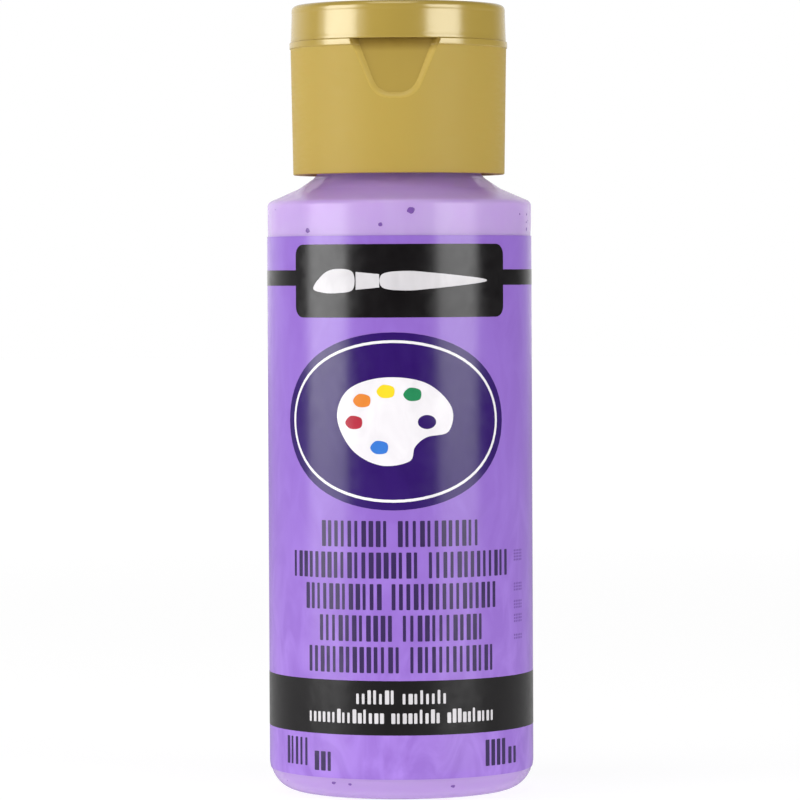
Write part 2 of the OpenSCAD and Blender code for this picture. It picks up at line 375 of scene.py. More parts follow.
def recess_finish(name, colour, shade):
    """The smoother skin of the thumb recess, with painted shade darkening the corner under the lid's lip.
    """
    f = Finish(name, Specular_IOR_Level=0.4)
    flow = f.noise(11, 2, stretch=(1, 1, 0.5), warp=0.8)
    plain = f.mix(f.spread(flow, 0.3, 0.7, 0, 1), colour, shade)
    # Painted shade: the colour darkens over the last 1.7 mm below the lid's lip, where the lip's shadow
    # falls.
    painted_lip_shade_band = f.spread(f.height(), PART_Z - 1.7, PART_Z - 0.6, 0, 1)
    under = f.times(painted_lip_shade_band, f.spread(f.noise(1.5, 2), 0.3, 0.6, 0.88, 1))
    f.feed("Base Color", f.mix(under, plain, srgb(136, 110, 42)))
    f.feed("Roughness", f.spread(f.noise(0.9, 3), 0.4, 0.8, 0.32, 0.4))
    f.bump(f.noise(2.6, 2), 0.012, 0.3)
    return f.material


def hinge_finish():
    """The cap's plastic, paler where the thin web has been flexed."""
    f = Finish("hinge_plastic", Roughness=0.42, Specular_IOR_Level=0.4)
    off = f.add("ShaderNodeMath", {0: f.height(), 1: PART_Z}, operation="SUBTRACT").outputs[0]
    far = f.add("ShaderNodeMath", {0: off}, operation="ABSOLUTE").outputs[0]
    pale = f.times(f.spread(far, 0.0, 0.55, 0.6, 0), f.spread(f.noise(0.3, 3), 0.3, 0.6, 0.5, 1))
    f.feed("Base Color", f.mix(pale, GOLD, srgb(222, 205, 150)))
    f.bump(f.noise(0.12, 3), 0.02, 0.35)
    return f.material


def bottle_finish():
    """Blown milky plastic: cloudy thickness changes, fine flow lines and a soft satin surface, with
    painted shade on the heel and painted light on the shoulder's cone.
    """
    f = Finish("bottle_milky", Subsurface_Weight=0.35, Subsurface_Scale=0.004)
    f.shader.inputs["Subsurface Radius"].default_value = (1.0, 0.7, 1.0)
    cloud = f.noise(9, 3, stretch=(1, 1, 0.5), warp=0.7)
    wall = f.mix(f.spread(cloud, 0.3, 0.7, 0, 1), srgb(205, 169, 240), srgb(211, 181, 245))
    # Painted shade: the wall turns darker towards the floor over the heel.
    heel_painted_shade = f.spread(f.height(), 2.0, 5.0, 1, 0)
    wall = f.mix(heel_painted_shade, wall, srgb(192, 159, 229))
    # Painted light: a lighter purple on the shoulder's cone, where the cap's skirt shades it.
    cone_painted_light = f.spread(f.height(), SHOULDER_Z + 0.3, SHOULDER_Z + 1.4, 0, 1)
    wall = f.mix(cone_painted_light, wall, srgb(220, 179, 255))
    bare = f.spread(f.height(), SHOULDER_Z + 3.2, SHOULDER_Z + 8, 0, 1)
    f.feed("Base Color", f.mix(bare, wall, srgb(226, 216, 238)))
    lines = f.noise(0.9, 2, stretch=(1, 1, 0.08))
    f.feed("Roughness", f.spread(lines, 0.3, 0.7, 0.2, 0.262))
    f.bump(f.plus(f.times(lines, 0.3), f.noise(1.2, 1)), 0.02, 0.15)
    f.see_through(f.spread(f.height(), SHOULDER_Z, SHOULDER_Z + 1.5, 0.76, 0.62))
    return f.material


def label_finish(name, colour, shift, painted_light_low_colour=None, streaks=0.5):
    """Printed film: faint streaks of ink, and a shallow orange peel from the wall behind it. Given a low
    colour, it grows lighter towards the bottom as painted light.
    """
    f = Finish(name)
    streak = f.noise(4, 3, stretch=(1, 1, 0.45), turn=(0, 0.7, 0), warp=1.2)
    # Painted light: the colour turns lighter towards the bottom, standing in for light from the floor.
    base = f.mix(f.spread(f.height(), 0, 44, 0, 1), painted_light_low_colour or colour, colour)
    f.feed("Base Color", f.mix(f.spread(streak, 0.35, 0.65, 0, streaks), base, shift))
    f.feed("Roughness", f.spread(f.noise(1.4, 3), 0.3, 0.7, 0.18, 0.27))
    f.bump(f.noise(3.5, 2, stretch=(1, 1, 0.5)), 0.02, 0.25)
    return f.material


def ink_finish(name, colour):
    """Ink on the film: the same gloss, with a fine mottle."""
    lighter = tuple(min(1, c * 1.25 + 0.004) for c in colour[:3]) + (1,)
    return label_finish(name, colour, lighter)


def paint_finish():
    """Wet acrylic paint with lazy swirls of unmixed pigment."""
    f = Finish("paint_wet", Coat_Weight=0.6, Coat_Roughness=0.05)
    swirl = f.noise(5, 3, stretch=(1, 1, 0.6), warp=2.5)
    mixed = f.spread(swirl, 0.35, 0.65, 0, 1)
    f.feed("Base Color", f.mix(mixed, srgb(150, 104, 238), srgb(176, 138, 248)))
    f.feed("Roughness", f.spread(swirl, 0.3, 0.7, 0.1, 0.22))
    f.bump(f.noise(1.5, 2, warp=1), 0.05, 0.3)
    return f.material


def liner_finish():
    """Closed-cell foam sheet, white, pitted and pressed."""
    f = Finish("liner_foam", Roughness=0.7)
    cell_size = 0.25
    links = {"Vector": f.place, "Scale": 1 / (cell_size * MM)}
    cells = f.add("ShaderNodeTexVoronoi", links).outputs["Distance"]
    pale = f.spread(cells, 0, 0.6, 0, 1)
    f.feed("Base Color", f.mix(pale, srgb(214, 211, 203), srgb(240, 238, 233)))
    f.bump(cells, 0.05, 0.5)
    return f.material


CAP, GLOSS, HINGE = cap_finish(), gloss_finish(), hinge_finish()
# Both recess finishes are the cap's gold: the floor's darker colour is painted shade, the edge's lighter
# colour a painted highlight.
RECESS_PAINTED_SHADE = recess_finish("recess_floor_painted_shade", srgb(170, 144, 68), srgb(174, 148, 70))
EDGE_PAINTED_HIGHLIGHT = recess_finish("recess_edge_painted_highlight", srgb(194, 167, 82), srgb(190, 163, 80))
BOTTLE, PAINT, LINER = bottle_finish(), paint_finish(), liner_finish()
# The film's third colour, lighter, is painted light near the label's foot.
FILM = label_finish("label_purple", LABEL_PURPLE, srgb(141, 101, 195), srgb(166, 127, 219), 0.75)
INK = {
    "black": ink_finish("ink_black", BLACK),
    "white": ink_finish("ink_white", WHITE),
    "pale": ink_finish("ink_pale", srgb(206, 203, 206)),
    "indigo": ink_finish("ink_indigo", INDIGO),
    "text": ink_finish("ink_text", TEXT),
    "faint": ink_finish("ink_faint", srgb(112, 78, 158)),
    "yellow": ink_finish("ink_yellow", srgb(238, 208, 40)),
    "green": ink_finish("ink_green", srgb(36, 132, 84)),
    "blue": ink_finish("ink_blue", srgb(58, 120, 208)),
    "red": ink_finish("ink_red", srgb(176, 44, 62)),
    "orange": ink_finish("ink_orange", srgb(226, 132, 52)),
}
SPECK = ink_finish("bubble_dark", srgb(112, 76, 152))


# ---------------------------------------------------------------- bottle
def heel(offset, count=14):
    """The rounded heel from the standing ring up to the wall, moved outwards by offset."""
    turns = [-math.pi / 2 + math.pi / 2 * i / count for i in range(count + 1)]
    middle, wide, tall = BODY_R - HEEL_W, HEEL_W + offset, HEEL_H + offset
    return [(middle + wide * math.cos(a), HEEL_H + tall * math.sin(a)) for a in turns]


def bottle_shape(angle, r, z):
    """Adds the neck's thread, the mould's seams at the sides and the pinched seam under the base."""
    outside = r > NECK_R - 0.01
    if outside and abs(r - NECK_R) < 0.01 and z > NECK_PLAIN_Z - 0.2:
        r += NECK_THREAD_H * thread(angle, z, NECK_THREAD_TOP_Z, 1.0, 0.5)
    away = abs(math.sin(angle)) * r
    seam_h, seam_w = 0.05, 0.14
    clear_of_label = z < LABEL_BOTTOM_Z - 0.4 or z > LABEL_TOP_Z + 0.4
    if outside and clear_of_label:
        r += seam_h * math.exp(-((away / seam_w) ** 2)) * ease((z - 0.1) / 0.5)
    pinch_h, pinch_w, pinch_r = 0.2, 0.3, 11
    if z <= PUSH_UP and r < pinch_r:
        z -= pinch_h * math.exp(-((away / pinch_w) ** 2)) * ease((pinch_r - r) / 3)
    return r, z


def make_bottle():
    """The blown shell, from the middle of the base up the outside, over the lip and down the inside."""
    base = outline([
        (0, PUSH_UP), (RING_R - 1.5, PUSH_UP * 0.56, 6), (RING_R - 0.35, 0.14, 0.2), (RING_R, 0),
    ], 0.35)
    wall = [(BODY_R, z) for z in (12, 24, 36, 48, 60, 70, LABEL_TOP_Z, 74.5)]
    shoulder = outline([
        (BODY_R, 75.5), (BODY_R, SHOULDER_Z - 0.12, 0.75), (13.25, SHOULDER_Z + 1.65, 1.2),
        (11.3, SHOULDER_Z + 2.95, 0.5), (NECK_R, SHOULDER_Z + 3.5, 0.3), (NECK_R, NECK_PLAIN_Z),
    ], 0.5)
    threaded = [(NECK_R, NECK_PLAIN_Z + 0.14 * i) for i in range(1, 76)]
    lip = outline([
        (NECK_R, 94.9), (NECK_R, NECK_TOP_Z, 0.3), (BORE_R, NECK_TOP_Z, 0.15), (BORE_R, 90),
    ], 0.5)
    inside = outline([
        (BORE_R, 90), (BORE_R, SHOULDER_Z + 4.1, 1.2), (10.3, SHOULDER_Z + 2.2, 1),
        (12.7, SHOULDER_Z + 0.75, 1.5), (BODY_R - WALL, SHOULDER_Z - 1.0, 0.9), (BODY_R - WALL, 60),
    ], 1.2)
    floor = outline([
        (RING_R - 0.2, WALL + 0.08), (RING_R - 1.7, PUSH_UP * 0.56 + WALL, 5), (0, PUSH_UP + WALL),
    ])
    outside = base + heel(0) + wall + shoulder + threaded
    profile = outside + lip[1:] + inside[1:] + heel(-WALL)[::-1] + floor
    angles = columns(1.5, (0, 1.5, 0.2), (180, 1.5, 0.2))
    shell = lathe("bottle_shell", profile, angles, BOTTLE, bottle_shape)
    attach(shell, "bottle")
    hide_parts("bottle")


def make_specks():
    """Small dark bubbles in the wall: six at given places (across, z, size), and the rest scattered."""
    rng = random.Random(7)
    spots = [(1.5, 75.9, 0.5), (-13.0, 73.4, 0.36), (-2.4, 74.1, 0.28)]
    spots += [(-9.4, 2.3, 0.3), (-7, 2.2, 0.24), (7, 1.9, 0.3)]
    bubble_t = 0.04
    for _ in range(26):
        high = rng.random() < 0.6
        z = rng.uniform(73.2, 76.6) if high else rng.uniform(1.4, 2.7)
        spots.append((rng.uniform(18, 91), z, rng.uniform(0.08, 0.2)))
    balls = bmesh.new()
    for across, z, size in spots:
        angle = across / BODY_R
        wall_r = BODY_R
        if z < HEEL_H:
            wall_r += HEEL_W * (math.sqrt(1 - ((HEEL_H - z) / HEEL_H) ** 2) - 1)
        out = TOWARDS * math.cos(angle) + ACROSS * math.sin(angle)
        ball = bmesh.ops.create_icosphere(balls, subdivisions=3, radius=1)["verts"]
        turn = out.to_track_quat("Z", "Y")
        wobble = rng.uniform(0, 9)
        for v in ball:
            lump = 1 + 0.25 * noise.noise(v.co * 1.3 + Vector((wobble, 0, 0)))
            local = Vector((v.co.x * size * lump, v.co.y * size * lump * 0.85, v.co.z * bubble_t))
            v.co = (out * wall_r + UP * z + turn @ local) * MM
    mesh = bpy.data.meshes.new("wall_bubbles")
    balls.to_mesh(mesh)
    balls.free()
    bubbles = add_piece("wall_bubbles", mesh, SPECK)
    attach(bubbles, "bottle")


# ---------------------------------------------------------------- paint
def make_paint():
    """The paint as one filling, with a meniscus where it climbs the wall."""
    under = outline([
        (0, PUSH_UP + WALL + PAINT_GAP), (RING_R - 1.7, PUSH_UP * 0.56 + WALL + PAINT_GAP, 5),
        (RING_R, WALL + 0.1),
    ])
    side = [(PAINT_R, z) for z in (20, 40, 60, FILL_Z - 0.4)]
    top = outline([
        (PAINT_R, FILL_Z), (PAINT_R - 0.12, FILL_Z - 0.1), (PAINT_R - 1.6, FILL_Z - 0.75, 1.5),
        (0, FILL_Z - 0.8),
    ])
    profile = under + heel(-WALL - PAINT_GAP) + side + top
    fill = lathe("paint_fill", profile, columns(2.5), PAINT)
    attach(fill, "bottle")
    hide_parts("paint")


def make_paint_film():
    """The skin of paint on the wall above the level. Its upper edge runs into the neck in tongues."""
    thick, steps = 0.22, 16
    bore_r = BORE_R - PAINT_GAP
    path = outline([
        (PAINT_R, FILL_Z + 0.02), (PAINT_R, SHOULDER_Z - 1.0, 0.9), (12.66, SHOULDER_Z + 0.7, 1.2),
        (10.26, SHOULDER_Z + 2.15, 1), (bore_r, SHOULDER_Z + 4.05, 1.2), (bore_r, NECK_TOP_Z - 4),
    ], 0.4)

    def place(i, angle):
        """The first half of the rows climbs one face of the skin, and the rest come down the other."""
        tongue = noise.noise(Vector((math.cos(angle) * 2.2, math.sin(angle) * 2.2, 0.7)))
        tongue += 0.4 * noise.noise(Vector((math.cos(angle) * 6, math.sin(angle) * 6, 3)))
        reach = (0.55 + 0.28 * tongue) * (len(path) - 2)
        outer = i < steps
        share = (i if outer else 2 * steps - 1 - i) / (steps - 1)
        at = share * reach
        k = int(at)
        here, following = Vector(path[k]), Vector(path[k + 1])
        point = here.lerp(following, at - k)
        if not outer:
            along = (following - here).normalized()
            point += Vector((-along.y, along.x)) * (thick * (1 - share ** 3) + 0.02)
        return point.x, point.y

    film = turned("paint_on_wall", 2 * steps, columns(2.5), place, PAINT, closed=True)
    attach(film, "bottle")
    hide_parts("paint_film")


# ---------------------------------------------------------------- label and its print
def label_radius(z, offset=0):
    """Radius of the label's outer face. Its lower edge follows the heel."""
    if z >= HEEL_H:
        return LABEL_R + offset
    drop = (HEEL_H - z) / (HEEL_H + LABEL_T + offset)
    return BODY_R - HEEL_W + (HEEL_W + LABEL_T + offset) * math.sqrt(1 - drop * drop)


def make_label():
    """A film with its ends apart at the back. Its corners there are rounded."""
    low = [LABEL_BOTTOM_Z + (HEEL_H - LABEL_BOTTOM_Z) * i / 8 for i in range(8)]
    levels = low + [HEEL_H + (LABEL_TOP_Z - HEEL_H) * i / 40 for i in range(41)]
    half = math.pi - LABEL_GAP / 2 / LABEL_R
    count, corner_w, corner_h, corner_columns = 300, 0.6, 1.2, 8
    glue = 0.01
    points, faces = [], []
    for offset in (0, glue - LABEL_T):
        for i in range(count + 1):
            angle = FRONT + half * (2 * i / count - 1)
            for z in levels:
                edge = min(z - LABEL_BOTTOM_Z, LABEL_TOP_Z - z)
                inset = corner_w * ease(1 - edge / corner_h) ** 2
                near = max(0, 1 - min(i, count - i) / corner_columns)
                a = angle - math.copysign(inset * near / LABEL_R, i - count / 2)
                r = label_radius(z, offset)
                points.append((r * math.cos(a) * MM, r * math.sin(a) * MM, z * MM))
    rows, side = len(levels), (count + 1) * len(levels)
    for i in range(count):
        for k in range(rows - 1):
            a = i * rows + k
            faces.append((a, a + rows, a + rows + 1, a + 1))
            faces.append((side + a, side + a + 1, side + a + rows + 1, side + a + rows))
    for i in range(count):
        for a, b in ((i * rows, (i + 1) * rows), ((i + 2) * rows - 1, (i + 1) * rows - 1)):
            faces.append((a, side + a, side + b, b))
    for k in range(rows - 1):
        for a, b in ((k + 1, k), (count * rows + k, count * rows + k + 1)):
            faces.append((a, side + a, side + b, b))
    mesh = bpy.data.meshes.new("label_film")
    mesh.from_pydata(points, [], faces)
    film = add_piece("label_film", mesh, FILM)
    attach(film, "bottle")
    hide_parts("label")


def box_loop(left, right, low, high, corner=0.0):
    """A rectangle with rounded corners, as a loop of points."""
    corner = min(corner, (right - left) / 2, (high - low) / 2)
    if not corner:
        return [(left, low), (right, low), (right, high), (left, high)]
    middles = [(right - corner, low + corner), (right - corner, high - corner)]
    middles += [(left + corner, high - corner), (left + corner, low + corner)]
    turns = 2 if corner < 0.5 else 6
    loop = []
    for quarter, (x, z) in enumerate(middles):
        for k in range(turns + 1):
            a = math.pi / 2 * (quarter - 1 + k / turns)
            loop.append((x + corner * math.cos(a), z + corner * math.sin(a)))
    return loop


def oval_loop(x, z, half_w, half_h, count=72):
    """An ellipse, as a loop of points."""
    turns = [2 * math.pi * k / count for k in range(count)]
    return [(x + half_w * math.cos(a), z + half_h * math.sin(a)) for a in turns]


def soft_loop(points, parts=8):
    """A smooth closed curve through given points: a Catmull-Rom spline."""
    loop = []
    for i in range(len(points)):
        a, b, c, d = (Vector(points[(i + k - 1) % len(points)]) for k in range(4))
        square, cube = 2 * a - 5 * b + 4 * c - d, 3 * b - a - 3 * c + d
        for k in range(parts):
            t = k / parts
            p = 0.5 * (2 * b + (c - a) * t + square * t * t + cube * t ** 3)
            loop.append((p.x, p.y))
    return loop


def printed(name, shapes, layer, ink):
    """Wraps flat shapes on the label as ink. A shape is loops of (across, height), outer first."""
    thick, clear, cut = 0.012, 0.004, 0.6
    flat = bmesh.new()
    for loops in shapes:
        verts = [flat.verts.new((x, z, 0)) for loop in loops for x, z in loop]
        for corners in tessellate_polygon([[Vector((x, z, 0)) for x, z in loop] for loop in loops]):
            flat.faces.new([verts[i] for i in corners])
    across = [v.co.x for v in flat.verts]
    for k in range(math.ceil(min(across) / cut), math.floor(max(across) / cut) + 1):
        everything = flat.verts[:] + flat.edges[:] + flat.faces[:]
        bmesh.ops.bisect_plane(flat, geom=everything, plane_co=(k * cut, 0, 0), plane_no=(1, 0, 0))
    lower, rim = flat.faces[:], [e for e in flat.edges if len(e.link_faces) == 1]
    upper = {v: flat.verts.new((v.co.x, v.co.y, thick)) for v in flat.verts[:]}
    for face in lower:
        flat.faces.new([upper[v] for v in face.verts])
    for edge in rim:
        a, b = edge.verts
        flat.faces.new((a, b, upper[b], upper[a]))
    for v in flat.verts:
        angle = v.co.x / LABEL_R
        r = label_radius(v.co.y, clear + layer * (thick + clear) + v.co.z)
        v.co = ((TOWARDS * math.cos(angle) + ACROSS * math.sin(angle)) * r + UP * v.co.y) * MM
    mesh = bpy.data.meshes.new(name)
    flat.to_mesh(mesh)
    flat.free()
    piece = add_piece(name, mesh, INK[ink])
    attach(piece, "bottle")


def ticks(left, right, low, high, rng, words=2, stroke=0.5, gap=0.46, uneven=0.0):
    """A row of plain upright strokes in groups, with the weight of a line of text and no lettering."""
    count = round((right - left + gap) / (stroke + gap))
    pitch = (right - left + gap) / count
    reach = max(2, count // (words + 2))
    middles = [round(count * k / words) for k in range(1, words)]
    stops = [middle + rng.randint(-reach // 2, reach // 2) for middle in middles]
    shapes = []
    for k in range(count):
        if k in stops:
            continue
        start = left + k * pitch
        end = start + (pitch - gap) * rng.choice((0.8, 1, 1.25))
        top = high - (high - low) * (uneven if rng.random() < 0.6 else 0)
        shapes.append([box_loop(start, end, low, top, 0.1)])
    return shapes


def make_front_print():
    """The panel and its stripe, the oval, five rows of strokes, the band and the marks under it."""
    rng = random.Random(3)
    half_panel = 15.25
    end = math.pi * LABEL_R - LABEL_GAP / 2 - 1
    printed("print_panel", [[box_loop(-half_panel, half_panel, 62.2, 71.6, 1.4)]], 1, "black")
    sides = ((half_panel - 1, end), (-end, 1 - half_panel))
    stripe = [[box_loop(left, right, 66.3, 68.3)] for left, right in sides]
    printed("print_stripe", stripe, 0, "black")
    printed("print_band", [[box_loop(-end, end, 8.6, 15.6)]], 0, "black")
    printed("print_oval", [[oval_loop(EMBLEM_X, EMBLEM_Z, 15.8, 11.4)]], 0, "indigo")
    line_out = oval_loop(EMBLEM_X, EMBLEM_Z, 14.8, 10.4)
    line_in = oval_loop(EMBLEM_X, EMBLEM_Z, 14.45, 10.05)[::-1]
    printed("print_oval_line", [[line_out, line_in]], 1, "white")
    text = []
    top_row_z, row_pitch, row_h = 32.8, 4.05, 3.35
    rows = [(-10.8, 10.6), (-15.8, 15.8), (-13.5, 13.5), (-11.2, 11.2), (-13, 13)]
    for i, (left, right) in enumerate(rows):
        low = top_row_z - row_pitch * i
        text += ticks(left, right, low, low + row_h, rng)
    printed("print_rows", text, 0, "text")
    small = ticks(-5.9, 5.9, 12.6, 14.4, rng, 2, 0.42, 0.32, 0.25)
    small += ticks(-13, 13, 10.1, 11.9, rng, 3, 0.42, 0.32, 0.25)
    printed("print_small_rows", small, 1, "pale")
    volume = ticks(-17.7, -13.4, 4.3, 7.9, rng, 1) + ticks(-12.2, -9.5, 3.8, 6.3, rng, 1)
    volume += ticks(11.7, 15.2, 4.2, 7.6, rng, 1) + ticks(16.0, 17.9, 4.2, 6.4, rng, 1)
    printed("print_volume_marks", volume, 0, "text")


def make_emblem():
    """A painter's palette with five dabs of colour. Its points are about the emblem's middle."""
    x, z, scale = EMBLEM_X, EMBLEM_Z, 0.78
    around = [(-9.6, 0.6), (-7.6, 5.2), (-1.6, 7.2), (5.4, 6.3), (9.8, 2.3), (9.3, -1.7)]
    around += [(5.6, -2.6), (3.6, -4.2), (2.6, -6.6), (-2.2, -7.2), (-7.0, -4.6)]
    palette = soft_loop([(x + a * scale, z + b * scale) for a, b in around])
    thumb = oval_loop(x + 5.6 * scale, z - 0.1, 1.2, 0.9, 32)[::-1]
    printed("print_palette", [[palette, thumb]], 1, "white")
    dabs = [(-6.6, -0.2, "red"), (-5.2, 3.4, "orange"), (-1.2, 4.9, "yellow"), (3.2, 4.4, "green")]
    dabs += [(-2.3, -4.3, "blue")]
    edge = [(-1.5, 0), (-0.5, 1.1), (1.3, 0.7), (1.2, -0.8), (-0.6, -1.0)]
    for a, b, ink in dabs:
        blob = soft_loop([(x + (a + c) * scale, z + (b + d) * scale) for c, d in edge])
        printed("print_dab_" + ink, [[blob]], 2, ink)


def make_brush():
    """A plain paintbrush on the black panel. z is the height of its axis."""
    z = 66.9
    tuft = [(-12.0, -0.9), (-10.4, -1.5), (-8.2, -1.55), (-6.1, -1.1), (-6.1, 1.1), (-8.2, 1.55)]
    tuft += [(-10.2, 1.0)]
    bristles = [(x, z + rise) for x, rise in tuft]
    ferrule = [(-5.7, z - 1.15), (-2.6, z - 0.85), (-2.6, z + 0.85), (-5.7, z + 1.15)]
    widths = [(-2.2, 0.85), (0.8, 1.25), (4.4, 1.0), (10.8, 0.34)]
    handle = [(x, z - half) for x, half in widths] + [(12.2, z)]
    handle += [(x, z + half) for x, half in widths[::-1]]
    shapes = [[soft_loop(bristles, 6)], [ferrule], [soft_loop(handle, 6)]]
    printed("print_brush", shapes, 2, "pale")


def make_back_print():
    """Plain marks on the label's back: fine lines beside its gap, and a bar panel at one side."""
    rng = random.Random(11)
    middle = math.pi * LABEL_R
    fine = {"stroke": 0.28, "gap": 0.26, "uneven": 0.25}
    top_z, near, far = 56.5, 6, 24
    lines = []
    for i in range(14):
        low = top_z - 2.1 * i
        lines += ticks(middle - far, middle - near - rng.uniform(0, 5), low, low + 1.1, rng, 4, **fine)
    left, right = near - middle, far - middle
    for i in range(7):
        low = top_z - 2.4 * i
        lines += ticks(left, right - rng.uniform(0, 4), low, low + 1.2, rng, 3, **fine)
    printed("print_fine_lines", lines, 0, "text")
    printed("print_bar_panel", [[box_loop(left, right, 24, 36, 0.6)]], 0, "white")
    bars, x = [], left + 1.5
    while x < right - 1.6:
        width = rng.choice((0.2, 0.2, 0.35, 0.55))
        bars.append([box_loop(x, x + width, 25.4, 34.6)])
        x += width + rng.choice((0.22, 0.35, 0.5))
    printed("print_bars", bars, 1, "black")


def make_dots():
    """A column of small printed patches of dots beside the front print."""
    left, pitch_x, pitch_z, dot_r = 17.6, 0.46, 0.4, 0.15
    dots = []
    for low, high in ((30.4, 31.9), (26.5, 27.7), (24.2, 25.5), (22.4, 23.5), (20.2, 21.0)):
        rows = round((high - low) / pitch_z)
        for i in range(5):
            for k in range(rows):
                x, z = left + pitch_x * i, low + pitch_z * (k + 0.5)
                dots.append([oval_loop(x, z, dot_r, dot_r, 10)])
    printed("print_dots", dots, 0, "faint")


# ---------------------------------------------------------------- cap
def cap_wall_r(z):
    """Radius of the cap's outer face."""
    if z > RIM_Z + 0.06:
        return RIM_R
    return SKIRT_BOTTOM_R + (SKIRT_TOP_R - SKIRT_BOTTOM_R) * max(0, z - SKIRT_Z) / (RIM_Z - SKIRT_Z)


def cap_shape(angle, r, z):
    """Cuts the thumb recess and the hinge's flat into the wall, and raises the thread inside."""
    if abs(r - SKIRT_BORE_R) < 0.01 and SKIRT_Z + 1 < z < DECK_UNDER_Z - 0.5:
        return r - SKIRT_THREAD_H * thread(angle, z, SKIRT_THREAD_TOP_Z, 0.8, 0.4), z
    if r < CATCH_RING_R + 0.1 or z < SKIRT_Z + 2:
        return r, z
    wall_r = RIM_R if z > PART_Z - 0.12 else r
    inside, depth = recess_inset(wall_r, angle, z)
    cut_r = wall_r - depth * min(1, inside / RECESS_ROUND) ** 2
    cut_r = min(cut_r, flat_cut(wall_r, angle, ease((z - PART_Z + FLAT_HALF_H) / 0.12)))
    return CATCH_RING_R + (r - CATCH_RING_R) * (cut_r - CATCH_RING_R) / (wall_r - CATCH_RING_R), z


def finish_cap(cap):
    """Satin skirt, glossy rim band, and the thumb recess's own floor and rounded edge: the floor a darker
    copy of the gold as painted shade, the edge a lighter copy as a painted highlight.
    """
    satin, glossy, recess_floor_painted_shade, recess_edge_painted_highlight = range(4)
    for face in cap.data.polygons:
        middle = face.center / MM
        inside, depth = recess_inset(RIM_R, math.atan2(middle.y, middle.x), middle.z)
        if middle.xy.length <= CATCH_RING_R + 0.1:
            continue
        face.material_index = glossy if middle.z > RIM_Z - 0.03 else satin
        if inside > 0 and depth > 0:
            face.material_index = recess_floor_painted_shade if inside > RECESS_ROUND else recess_edge_painted_highlight


def make_cap():
    """The skirt, the rim, the deck with its rings and spout, and the threaded bore."""
    skirt_foot = outline([
        (SKIRT_BORE_R, SKIRT_Z + 0.5, 0.1), (SKIRT_BORE_R + 0.35, SKIRT_Z, 0.1),
        (SKIRT_BOTTOM_R, SKIRT_Z, 0.15), (SKIRT_BOTTOM_R + 0.02, SKIRT_Z + 1),
    ], 0.6)
    heights = [SKIRT_Z + 1 + 0.9 * i for i in range(1, 10)]
    heights += [RECESS_Z - 0.35 + 0.08 * i for i in range(90)]
    skirt = [(cap_wall_r(z), z) for z in sorted(heights) if z < RIM_Z - 0.06]
    rim = outline([
        (SKIRT_TOP_R, RIM_Z - 0.05), (RIM_R, RIM_Z + 0.07, 0.05), (RIM_R, PART_Z, 0.1),
        (CATCH_RING_R, PART_Z, 0.08), (CATCH_RING_R, PART_Z + 0.9, 0.25), (12.0, PART_Z + 0.9, 0.15),
        (12.0, DECK_TOP_Z, 0.15), (3.3, DECK_TOP_Z, 0.3), (2.45, SPOUT_TOP_Z, 0.18),
        (SPOUT_BORE_R, SPOUT_TOP_Z, 0.15), (SPOUT_BORE_R, DECK_UNDER_Z + 0.5, 0.2),
        (2.6, DECK_UNDER_Z, 0.1), (7.9, DECK_UNDER_Z, 0.2), (8.1, DECK_UNDER_Z - 2.9, 0.15),
        (8.4, DECK_UNDER_Z - 2.9, 0.15), (PLUG_RING_R, DECK_UNDER_Z - 2.2, 0.2),
        (PLUG_RING_R, DECK_UNDER_Z, 0.15), (SKIRT_BORE_R, DECK_UNDER_Z, 0.3), (SKIRT_BORE_R, BORE_TOP_Z),
    ], 0.4)
    bore = [(SKIRT_BORE_R, BORE_TOP_Z - 0.16 * i) for i in range(1, 66)]
    profile = skirt_foot + skirt + rim + bore + [(SKIRT_BORE_R, BORE_FOOT_Z)]
    angles = columns(2, (270, 28, 0.32), (90, 24, 0.6))
    finishes = [CAP, GLOSS, RECESS_PAINTED_SHADE, EDGE_PAINTED_HIGHLIGHT]
    cap = lathe("cap_screw_base", profile, angles, finishes, cap_shape, closed=True)
    finish_cap(cap)
    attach(cap, "closure")
    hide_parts("cap_base")


def lid_shape(angle, r, z):
    """Cuts the hinge's flat into the lid's wall."""
    if r <= LID_BORE_R:
        return r, z
    share = 1 - ease((z - PART_Z - FLAT_HALF_H + 0.12) / 0.12)
    cut_r = flat_cut(LID_BOTTOM_R, angle, share)
    return LID_BORE_R + (r - LID_BORE_R) * (cut_r - LID_BORE_R) / (LID_BOTTOM_R - LID_BORE_R), z


def make_lid():
    """The top plate, the wall, and the plug that closes the spout."""
    wall = outline([
        (0, LID_TOP_Z - 0.07), (0.7, LID_TOP_Z - 0.07, 0.05), (0.8, LID_TOP_Z, 0.05), (10, LID_TOP_Z),
        (LID_TOP_R, LID_TOP_Z, 0.7), (LID_TOP_R + 0.04, LID_TOP_Z - 1.0),
    ], 0.8)
    levels = [LID_TOP_Z - 1.1 - 0.12 * i for i in range(6)]
    levels += [LID_TOP_Z - 1.9 - 0.5 * i for i in range(6)]
    slope = (LID_TOP_R - LID_BOTTOM_R) / (LID_TOP_Z - 0.7 - PART_Z)
    wall += [(LID_BOTTOM_R + slope * (z - PART_Z), z) for z in levels]
    under = outline([
        (LID_BOTTOM_R, PART_Z + 0.4), (LID_BOTTOM_R, PART_Z, 0.08), (LID_BORE_R, PART_Z, 0.12),
        (LID_BORE_R, LID_UNDER_Z, 0.4), (2.2, LID_UNDER_Z, 0.3), (2.2, SPOUT_TOP_Z + 0.1, 0.08),
        (1.45, SPOUT_TOP_Z + 0.1, 0.06), (1.45, PART_Z + 0.95, 0.2), (1.1, PART_Z + 0.55, 0.15),
        (0, PART_Z + 0.55),
    ], 0.6)
    lid = lathe("flip_lid", wall + under, columns(1.8, (90, 24, 0.6)), GLOSS, lid_shape)
    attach(lid, "lid")
    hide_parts("lid")


